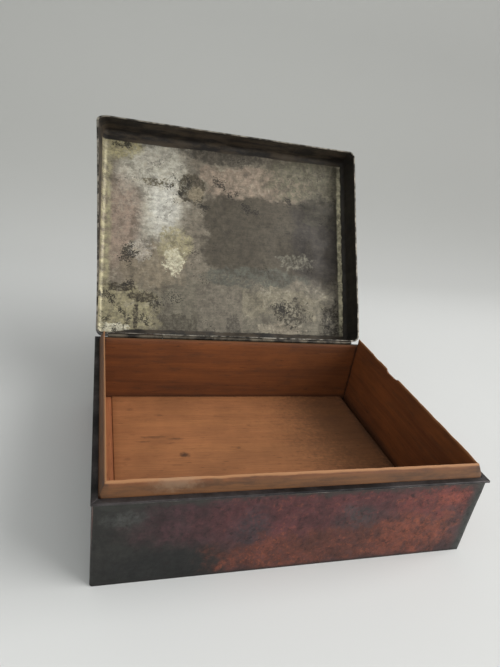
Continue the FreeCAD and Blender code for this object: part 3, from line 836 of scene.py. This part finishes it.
# %% [markdown]
# ## Wearing a copy of a CAD part
# Real sheet and board are never as true as CAD. A worn piece starts as a clean copy of its CAD node: loose
# triangles are merged, flat faces joined, the sharp edges eased, and the faces cut into a fine lattice that
# can be bent by slow noise. Shapes stay within about a millimetre of the CAD ones, but for two: the floor
# board has shrunk at its right end, and the lid's left wall is bent outward.

# %% Copy, ease, cut and finish
SHARP_ANGLE = math.radians(40)


def clean_copy(node):
    shape = bmesh.new()
    shape.from_mesh(frame["nodes"][node].data)
    bmesh.ops.remove_doubles(shape, verts=shape.verts, dist=1e-6)
    bmesh.ops.dissolve_limit(shape, angle_limit=math.radians(0.3), verts=shape.verts, edges=shape.edges)
    return shape


def ease_edges(shape, width, segments=2, sharper_than=math.radians(28)):
    sharp = [edge for edge in shape.edges
             if len(edge.link_faces) == 2 and edge.calc_face_angle(0.0) > sharper_than]
    bmesh.ops.bevel(shape, geom=sharp, offset=width, segments=segments, profile=0.5, affect="EDGES",
                    clamp_overlap=True)


def cut_lattice(shape, steps):
    """Cut the shape by planes at every step along each axis, where a step is given."""
    for axis, step in enumerate(steps):
        if not step:
            continue
        low = min(vertex.co[axis] for vertex in shape.verts)
        high = max(vertex.co[axis] for vertex in shape.verts)
        count = int((high - low) / step)
        for index in range(1, count + 1):
            point, normal = Vector(), Vector()
            point[axis] = low + (high - low) * index / (count + 1)
            normal[axis] = 1.0
            bmesh.ops.bisect_plane(shape, geom=[*shape.verts, *shape.edges, *shape.faces], dist=1e-7,
                                   plane_co=point, plane_no=normal)


def make_piece(shape, name, material, sharp_above=SHARP_ANGLE):
    """Turn a bmesh into an object with one finish, smooth but for its real corners."""
    mesh = bpy.data.meshes.new(name)
    shape.to_mesh(mesh)
    shape.free()
    mesh.shade_smooth()
    mesh.set_sharp_from_angle(angle=sharp_above)
    mesh.materials.append(material)
    piece = bpy.data.objects.new(name, mesh)
    bpy.context.scene.collection.objects.link(piece)
    return piece


def wander(place, scale, seed):
    """Slow noise between about -1 and 1, different for each seed."""
    return noise.noise(place * scale + Vector((seed * 17.3, seed * 5.1, seed * 9.7)))


print("wearing tools ready")

# %% [markdown]
# ## Wood boards
# Boards are worn most along their thin top edge, where the bevel leaves almost a knife edge: it is nicked and
# slightly wavy.

# %% Liner boards and floor
TOP_WEAR = 1.5 * MM
BOARD_FINISH = {"front": liner_x_finish, "back": liner_x_finish,
                "left": liner_y_finish, "right": liner_y_finish}


def wear_top_edge(shape, seed):
    """Nick and ripple the top edge. Points on it are marked as land, which the wood finish reads."""
    land = shape.verts.layers.float.new("land")
    for vertex in shape.verts:
        vertex[land] = 1.0 if vertex.co.z > liner_top - 0.3 * MM else 0.0
        near_top = max(0.0, 1 - (liner_top - vertex.co.z) / TOP_WEAR)
        nick = max(0.0, wander(vertex.co, 90.0, seed) - 0.18) * 1.3 * MM
        ripple = wander(vertex.co, 400.0, seed + 3) * 0.12 * MM
        vertex.co.z -= near_top * (nick + ripple)
        vertex.co.z += near_top * wander(vertex.co, 14.0, seed + 5) * 0.25 * MM


def mark_handled(mesh, side):
    """1 on the bevel, where hands and the lid have rubbed the wood grey, and 0 elsewhere."""
    outward = {"front": Vector((0, -1, 0)), "back": Vector((0, 1, 0)), "left": Vector((-1, 0, 0)),
               "right": Vector((1, 0, 0))}[side]
    handled = mesh.attributes.new("handled", "FLOAT", "POINT")
    for index, vertex in enumerate(mesh.vertices):
        sloping = vertex.normal.z > 0.15 and vertex.normal.dot(outward) > 0.15
        handled.data[index].value = 1.0 if sloping and vertex.co.z < liner_top - 0.3 * MM else 0.0


def build_liner_board(side, seed):
    node = f"liner_{side}"
    shape = clean_copy(node)
    ease_edges(shape, 0.14 * MM)
    along = (2.0 * MM, 0, 3.0 * MM) if side in ("front", "back") else (0, 2.0 * MM, 3.0 * MM)
    cut_lattice(shape, along)
    wear_top_edge(shape, seed)
    piece = make_piece(shape, f"{side}_board", BOARD_FINISH[side])
    mark_handled(piece.data, side)
    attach(piece, "case")
    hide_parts(node)
    return piece


for board_seed, board_side in enumerate(("front", "right", "back", "left"), start=1):
    board = build_liner_board(board_side, board_seed)
    print(board.name, len(board.data.polygons), "faces")


FLOOR_SHRINK = 2.1 * MM
floor_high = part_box("liner_floor")[1]


def build_floor(node, name, material):
    shape = clean_copy(node)
    ease_edges(shape, 0.25 * MM)
    cut_lattice(shape, (4.0 * MM, 4.0 * MM, 0))
    for vertex in shape.verts:
        if vertex.co.z > 2.0 * MM:
            vertex.co.z += wander(vertex.co, 16.0, 8) * 0.12 * MM
        if vertex.co.x > floor_high.x - 3 * MM:
            vertex.co.x -= FLOOR_SHRINK * (vertex.co.y + floor_high.y) / (2 * floor_high.y)
    piece = make_piece(shape, name, material)
    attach(piece, "case")
    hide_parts(node)
    return piece


build_floor("liner_floor", "floor_board", floor_finish)
build_floor("floor_filler", "floor_strip", filler_finish)
print("floor board and its filler strip")

# %% [markdown]
# ## The case wall as a swept strip
# The wall is one strip bent round a rounded rectangle, so a rule describes it: a path, an upright line
# carried along it, and slow dents pressed in along the normal. Geometry Nodes build the skin, and Solidify
# gives it the sheet's thickness.

# %% Geometry Nodes helpers


def new_shape_tree(name, inputs):
    """A geometry tree with a geometry input and output, and named inputs with defaults."""
    tree = bpy.data.node_groups.new(name, "GeometryNodeTree")
    tree.interface.new_socket("Geometry", in_out="INPUT", socket_type="NodeSocketGeometry")
    for title, (kind, default) in inputs.items():
        socket = tree.interface.new_socket(title, in_out="INPUT", socket_type=kind)
        if default is not None:
            socket.default_value = default
    tree.interface.new_socket("Geometry", in_out="OUTPUT", socket_type="NodeSocketGeometry")
    return tree, tree.nodes.new("NodeGroupInput"), tree.nodes.new("NodeGroupOutput")


def end_tree(tree, given, result, geometry):
    """Realize the instances, set the material and send the geometry out."""
    real = put(tree, "GeometryNodeRealizeInstances", Geometry=geometry)
    stuff = given.outputs["Material"]
    painted = put(tree, "GeometryNodeSetMaterial", Geometry=real.outputs[0], Material=stuff)
    tree.links.new(painted.outputs[0], result.inputs["Geometry"])


def grow(name, tree, values):
    """Run a geometry tree on an empty host and return its result as an object with a plain mesh."""
    host = bpy.data.objects.new(f"{name}_host", bpy.data.meshes.new(f"{name}_host"))
    bpy.context.scene.collection.objects.link(host)
    modifier = host.modifiers.new("grow", "NODES")
    modifier.node_group = tree
    for item in tree.interface.items_tree:
        if item.item_type == "SOCKET" and item.in_out == "INPUT" and item.name in values:
            modifier[item.identifier] = values[item.name]
    bpy.context.view_layer.update()
    evaluated = host.evaluated_get(bpy.context.evaluated_depsgraph_get())
    mesh = bpy.data.meshes.new_from_object(evaluated)
    host.modifiers.clear()
    bpy.data.objects.remove(host)
    mesh.name = name
    mesh.shade_smooth()
    mesh.set_sharp_from_angle(angle=SHARP_ANGLE)
    piece = bpy.data.objects.new(name, mesh)
    bpy.context.scene.collection.objects.link(piece)
    return piece


NUMBER, COUNT, STUFF = "NodeSocketFloat", "NodeSocketInt", "NodeSocketMaterial"
print("geometry helpers ready")

# %% Swept wall
FOLD_RADIUS = 1.3 * MM
WALL_FADE = 5.0 * MM


def make_bent_strip():
    tree, given, result = new_shape_tree("bent_strip", {
        "Width": (NUMBER, 0.1), "Depth": (NUMBER, 0.1), "Corner": (NUMBER, 0.004), "Foot": (NUMBER, 0.0),
        "Height": (NUMBER, 0.04), "Step": (NUMBER, 0.002), "Dent": (NUMBER, 0.0003),
        "Dent Scale": (NUMBER, 25.0), "Fade": (NUMBER, 0.005), "Material": (STUFF, None),
    })
    path = rounded_path(tree, given.outputs["Width"], given.outputs["Depth"], given.outputs["Corner"],
                        given.outputs["Step"])
    drop = times(tree, given.outputs["Height"], -1.0)
    top = put(tree, "ShaderNodeCombineXYZ", X=0.0, Y=drop, Z=0.0).outputs[0]
    upright = put(tree, "GeometryNodeCurvePrimitiveLine", Start=(0, 0, 0), End=top)
    upright = put(tree, "GeometryNodeResampleCurve", {"mode": "LENGTH"}, Curve=upright.outputs[0],
                  Length=2 * MM)
    skin = put(tree, "GeometryNodeCurveToMesh", Curve=path, Profile_Curve=upright.outputs[0])
    place = put(tree, "GeometryNodeInputPosition").outputs[0]
    height = put(tree, "ShaderNodeSeparateXYZ", Vector=place).outputs["Z"]
    up_fade = spread(tree, height, 0.0, given.outputs["Fade"])
    gap = minus(tree, given.outputs["Height"], height)
    hold = times(tree, up_fade, spread(tree, gap, 0.0, given.outputs["Fade"]))
    swell, _ = noise_of(tree, place, given.outputs["Dent Scale"], 2.0, 0.4)
    push = times(tree, minus(tree, swell, 0.5), given.outputs["Dent"])
    push = times(tree, push, hold)
    normal = put(tree, "GeometryNodeInputNormal").outputs[0]
    scaled = put(tree, "ShaderNodeVectorMath", {"operation": "SCALE"}, Vector=normal, Scale=push).outputs[0]
    lift = put(tree, "ShaderNodeCombineXYZ", X=0.0, Y=0.0, Z=given.outputs["Foot"]).outputs[0]
    offset = vectors(tree, "ADD", scaled, lift)
    moved = put(tree, "GeometryNodeSetPosition", Geometry=skin.outputs[0], Offset=offset)
    end_tree(tree, given, result, moved.outputs[0])
    return tree


def rounded_path(tree, width, depth, corner, step):
    """A closed rectangle with round corners, cut into even steps."""
    box_path = put(tree, "GeometryNodeCurvePrimitiveQuadrilateral", {"mode": "RECTANGLE"}, Width=width,
                   Height=depth)
    rounded = put(tree, "GeometryNodeFilletCurve", {"mode": "POLY"}, Curve=box_path.outputs[0], Count=16,
                  Radius=corner)
    return put(tree, "GeometryNodeResampleCurve", {"mode": "LENGTH"}, Curve=rounded.outputs[0],
               Length=step).outputs[0]


def face_outward(piece):
    shape = bmesh.new()
    shape.from_mesh(piece.data)
    bmesh.ops.recalc_face_normals(shape, faces=shape.faces)
    shape.to_mesh(piece.data)
    shape.free()


def thicken(piece, thickness):
    """Give a skin the thickness of its sheet, towards the inside, and turn all faces outward."""
    modifier = piece.modifiers.new("sheet", "SOLIDIFY")
    modifier.thickness = thickness
    modifier.offset = -1.0
    bpy.context.view_layer.update()
    solid = bpy.data.meshes.new_from_object(piece.evaluated_get(bpy.context.evaluated_depsgraph_get()))
    piece.modifiers.clear()
    piece.data = solid
    face_outward(piece)
    solid.set_sharp_from_angle(angle=SHARP_ANGLE)


case_skin = grow("case_sheet", make_bent_strip(), {
    "Width": 2 * half_width, "Depth": 2 * half_depth, "Corner": FOLD_RADIUS, "Foot": wall_low.z,
    "Height": wall_high.z - wall_low.z, "Step": 1.1 * MM, "Dent": 1.1 * MM, "Dent Scale": 22.0,
    "Fade": WALL_FADE, "Material": case_finish,
})
outward = case_skin.data.polygons[0].normal.dot(case_skin.data.polygons[0].center)
if outward < 0:
    case_skin.data.flip_normals()
thicken(case_skin, sheet_thickness)
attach(case_skin, "case")
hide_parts("case_wall")
corners = [case_skin.matrix_world @ Vector(corner) for corner in case_skin.bound_box]
print("wall from", min(corners), "to", max(corners), len(case_skin.data.polygons), "faces")

# %% [markdown]
# ## Base, rim and solder
# The base sheet and the four rim strips are worn copies. Under the rim runs a bead of soft solder, which
# is a path with an uneven thickness, so Geometry Nodes sweep a small circle whose radius follows noise.

# %% Base and rim strips


def wear_rim(shape, seed):
    for vertex in shape.verts:
        past_side = abs(vertex.co.x) - (half_width - 0.4 * MM)
        past_end = abs(vertex.co.y) - (half_depth - 0.4 * MM)
        outer = max(past_side, past_end, 0.0)
        sag = min(outer / (1.0 * MM), 1.0)
        vertex.co.z += sag * (wander(vertex.co, 45.0, seed) * 0.22 - 0.05) * MM


def build_worn_strip(node, name, material, seed, steps, ease=0.16 * MM):
    shape = clean_copy(node)
    ease_edges(shape, ease)
    cut_lattice(shape, steps)
    if seed:
        wear_rim(shape, seed)
    piece = make_piece(shape, name, material)
    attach(piece, "case")
    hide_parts(node)
    return piece


for rim_seed, rim_side in enumerate(("front", "right", "back", "left"), start=1):
    rim_steps = (2.5 * MM, 0, 0) if rim_side in ("front", "back") else (0, 2.5 * MM, 0)
    strip = build_worn_strip(f"rim_{rim_side}", f"{rim_side}_rim_strip", rim_finish, rim_seed,
                             rim_steps)
    print(strip.name, len(strip.data.polygons), "faces")
build_worn_strip("base_plate", "base_sheet", case_finish, 0, (6 * MM, 6 * MM, 0), 0.2 * MM)

# %% Solder bead


def make_solder_bead():
    tree, given, result = new_shape_tree("solder_bead", {
        "Width": (NUMBER, 0.1), "Depth": (NUMBER, 0.1), "Corner": (NUMBER, 0.004), "Height": (NUMBER, 0.04),
        "Step": (NUMBER, 0.001), "Radius": (NUMBER, 0.0005), "Unevenness": (NUMBER, 1.0),
        "Material": (STUFF, None),
    })
    path = rounded_path(tree, given.outputs["Width"], given.outputs["Depth"], given.outputs["Corner"],
                        given.outputs["Step"])
    place = put(tree, "GeometryNodeInputPosition").outputs[0]
    lumps, _ = noise_of(tree, place, 160.0, 4.0, 0.6)
    swing = times(tree, minus(tree, lumps, 0.5), given.outputs["Unevenness"])
    ring = put(tree, "GeometryNodeCurvePrimitiveCircle", Resolution=8, Radius=given.outputs["Radius"])
    bead = put(tree, "GeometryNodeCurveToMesh", Curve=path, Profile_Curve=ring.outputs[0],
               Scale=plus(tree, swing, 1.0))
    lift = put(tree, "ShaderNodeCombineXYZ", X=0.0, Y=0.0, Z=given.outputs["Height"]).outputs[0]
    raised = put(tree, "GeometryNodeSetPosition", Geometry=bead.outputs[0], Offset=lift)
    end_tree(tree, given, result, raised.outputs[0])
    return tree


SOLDER_RADIUS = 0.42 * MM
solder_line = grow("rim_solder", make_solder_bead(), {
    "Width": 2 * half_width, "Depth": 2 * half_depth, "Corner": FOLD_RADIUS,
    "Height": wall_high.z - 0.15 * MM, "Step": 1.0 * MM, "Radius": SOLDER_RADIUS, "Unevenness": 1.6,
    "Material": solder_finish,
})
face_outward(solder_line)
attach(solder_line, "case")
print("solder bead", len(solder_line.data.polygons), "faces")

# %% [markdown]
# ## Hinge tubes
# Five equal tubes share one line and take turns: three belong to the case and two to the lid. A row of
# points carries copies of one tube, and each body gets its own row, so that the lid's tubes turn with it.

# %% Hinge rows


def make_tube_row():
    tree, given, result = new_shape_tree("tube_row", {
        "Count": (COUNT, 3), "First": (NUMBER, 0.0), "Spacing": (NUMBER, 0.05), "Length": (NUMBER, 0.03),
        "Radius": (NUMBER, 0.001), "Line Y": (NUMBER, 0.0), "Line Z": (NUMBER, 0.0), "Wear": (NUMBER, 0.0001),
        "Material": (STUFF, None),
    })
    start = put(tree, "ShaderNodeCombineXYZ", X=given.outputs["First"], Y=0.0, Z=0.0).outputs[0]
    offset = put(tree, "ShaderNodeCombineXYZ", X=given.outputs["Spacing"], Y=0.0, Z=0.0).outputs[0]
    row = put(tree, "GeometryNodeMeshLine", {"mode": "OFFSET"}, Count=given.outputs["Count"],
              Start_Location=start, Offset=offset)
    half = times(tree, given.outputs["Length"], 0.5)
    low = put(tree, "ShaderNodeCombineXYZ", X=times(tree, half, -1.0), Y=0.0, Z=0.0).outputs[0]
    high = put(tree, "ShaderNodeCombineXYZ", X=half, Y=0.0, Z=0.0).outputs[0]
    line = put(tree, "GeometryNodeCurvePrimitiveLine", Start=low, End=high)
    line = put(tree, "GeometryNodeResampleCurve", {"mode": "LENGTH"}, Curve=line.outputs[0], Length=0.0011)
    ring = put(tree, "GeometryNodeCurvePrimitiveCircle", Resolution=20, Radius=given.outputs["Radius"])
    tube = put(tree, "GeometryNodeCurveToMesh", Curve=line.outputs[0], Profile_Curve=ring.outputs[0])
    copies = put(tree, "GeometryNodeInstanceOnPoints", Points=row.outputs[0], Instance=tube.outputs[0])
    real = put(tree, "GeometryNodeRealizeInstances", Geometry=copies.outputs[0])
    place = put(tree, "GeometryNodeInputPosition").outputs[0]
    lumps, _ = noise_of(tree, place, 300.0, 3.0, 0.6)
    push = times(tree, minus(tree, lumps, 0.62), given.outputs["Wear"])
    normal = put(tree, "GeometryNodeInputNormal").outputs[0]
    worn = put(tree, "ShaderNodeVectorMath", {"operation": "SCALE"}, Vector=normal, Scale=push).outputs[0]
    to_line = put(tree, "ShaderNodeCombineXYZ", X=0.0, Y=given.outputs["Line Y"], Z=given.outputs["Line Z"])
    moved = put(tree, "GeometryNodeSetPosition", Geometry=real.outputs[0],
                Offset=vectors(tree, "ADD", worn, to_line.outputs[0]))
    end_tree(tree, given, result, moved.outputs[0])
    return tree


tube_row = make_tube_row()
TUBE_WALL = 0.62 * MM
TUBE_NODES = {
    "case": ["case_knuckle_left", "case_knuckle_middle", "case_knuckle_right"],
    "lid": ["lid_knuckle_left", "lid_knuckle_right"],
}


def build_tubes(body):
    spans = [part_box(node) for node in TUBE_NODES[body]]
    middles = [(low.x + high.x) / 2 for low, high in spans]
    low, high = spans[0]
    row = grow(f"{body}_hinge_tubes", tube_row, {
        "Count": len(spans), "First": middles[0], "Spacing": middles[1] - middles[0],
        "Length": high.x - low.x, "Radius": (high.z - low.z) / 2, "Line Y": hinge_point.y,
        "Line Z": hinge_point.z, "Wear": 0.18 * MM, "Material": hinge_finish,
    })
    first = row.data.polygons[0]
    if first.normal.dot(Vector((0, first.center.y - hinge_point.y, first.center.z - hinge_point.z))) < 0:
        row.data.flip_normals()
    thicken(row, TUBE_WALL)
    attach(row, body)
    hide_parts(*TUBE_NODES[body])
    return row


for hinge_body in TUBE_NODES:
    tubes = build_tubes(hinge_body)
    print(tubes.name, len(tubes.data.polygons), "faces")
frame["nodes"]["hinge_pin"].data.materials[0] = pin_finish

# %% [markdown]
# ## The lid
# The lid is one folded sheet. Its left wall has been knocked outward towards the front corner, and the
# panel is no longer quite flat. The wear is worked out with the lid shut, then turned back to its open
# place. A plan of the lid stays on its points as an attribute, and the lid's finish reads it.

# %% Lid sheet
LID_RIM_PLANE = 44.8 * MM
LID_INSIDE = Vector((-0.4 * MM, 0.6 * MM, 50 * MM))
LID_SPLAY = 4.2 * MM


def wear_lid(shape):
    for vertex in shape.verts:
        place = vertex.co.copy()
        to_front = max(0.0, min(1.0, (hinge_point.y - place.y) / (2 * half_depth)))
        to_rim = max(0.0, min(1.0, 1 - (place.z - LID_RIM_PLANE) / LID_HEIGHT))
        to_left = max(0.0, min(1.0, (-place.x - half_width + 6 * MM) / (6 * MM)))
        vertex.co.x -= LID_SPLAY * to_rim * to_left * to_front ** 1.6
        inward = 1 - to_rim
        vertex.co.z += inward * wander(place, 18.0, 21) * 0.5 * MM
        edge = to_rim * min(1.0, to_front * 6)
        vertex.co.x += edge * wander(place, 25.0, 22) * 0.25 * MM
        vertex.co.y += edge * wander(place, 25.0, 23) * 0.2 * MM


def store_lid_plan(mesh):
    """Keep each point's place when shut: X to the right, Y from hinge to front, Z up from the lid's edge."""
    plan = mesh.attributes.new("lid_plan", "FLOAT_VECTOR", "POINT")
    for index, vertex in enumerate(mesh.vertices):
        shut = to_shut @ vertex.co
        plan.data[index].vector = (shut.x, hinge_point.y - shut.y, shut.z - LID_RIM_PLANE)


def paint_lid_sides(mesh):
    """Material 0 faces into the tray, 1 is the outside, 2 is the bare edge of the sheet."""
    for polygon in mesh.polygons:
        middle = to_shut @ polygon.center
        facing = to_shut.to_3x3() @ polygon.normal
        if facing.z < -0.7 and middle.z < LID_RIM_PLANE + 0.5 * MM:
            polygon.material_index = 2
        elif facing.dot(middle - LID_INSIDE) > 0:
            polygon.material_index = 1


def build_lid():
    shape = clean_copy("lid_shell")
    bmesh.ops.transform(shape, matrix=to_shut, verts=shape.verts)
    cut_lattice(shape, (3.0 * MM, 3.0 * MM, 3.0 * MM))
    wear_lid(shape)
    bmesh.ops.transform(shape, matrix=to_open, verts=shape.verts)
    piece = make_piece(shape, "lid_sheet", lid_finish)
    piece.data.materials.append(lid_outside_finish)
    piece.data.materials.append(lid_edge_finish)
    store_lid_plan(piece.data)
    paint_lid_sides(piece.data)
    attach(piece, "lid")
    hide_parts("lid_shell")
    return piece


lid_sheet = build_lid()
lid_places = [item.vector for item in lid_sheet.data.attributes["lid_plan"].data]
print("lid sheet", len(lid_sheet.data.polygons), "faces")
for index, axis in enumerate("XYZ"):
    reaches = [place[index] / MM for place in lid_places]
    print(f"shut, its {axis} runs from {min(reaches):.1f} to {max(reaches):.1f} mm")
